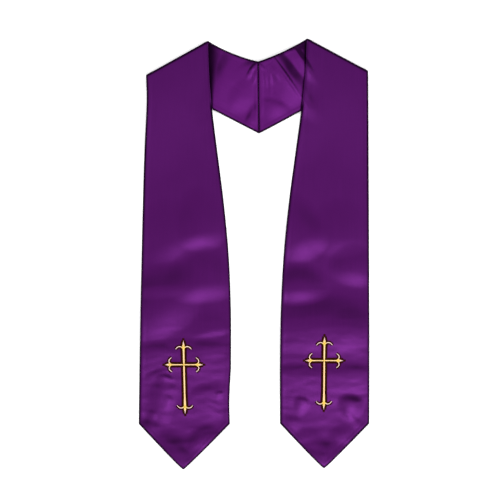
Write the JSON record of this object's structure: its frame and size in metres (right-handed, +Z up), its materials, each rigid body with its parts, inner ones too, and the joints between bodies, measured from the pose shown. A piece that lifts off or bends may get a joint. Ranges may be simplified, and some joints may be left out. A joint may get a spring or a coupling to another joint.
{
  "type": "choir stole",
  "caption": "Satin choir stole laid flat, folded over at both shoulders, with pointed ends and an embroidered cross on each front.",
  "frame": {"origin": "middle of the rectangle that the laid-out stole covers, on the surface that it lies on", "axes": "+X across the stole from its left front to its right front as it lies, +Y along the fronts from their pointed ends up to the neck, +Z up off the surface"},
  "size_m": [0.35, 0.655, 0.0092],
  "materials": {
    "satin": "royal purple polyester satin with a soft sheen",
    "gold_thread": "glossy gold rayon embroidery thread in satin stitch",
    "dark_thread": "dark brown embroidery thread round the edge of the cross"
  },
  "bodies": {
    "root": {"face_left": "satin", "face_right": "satin", "lining_left": "satin", "lining_right": "satin", "cross_left": "gold_thread", "cross_right": "gold_thread"}
  },
  "joints": []
}
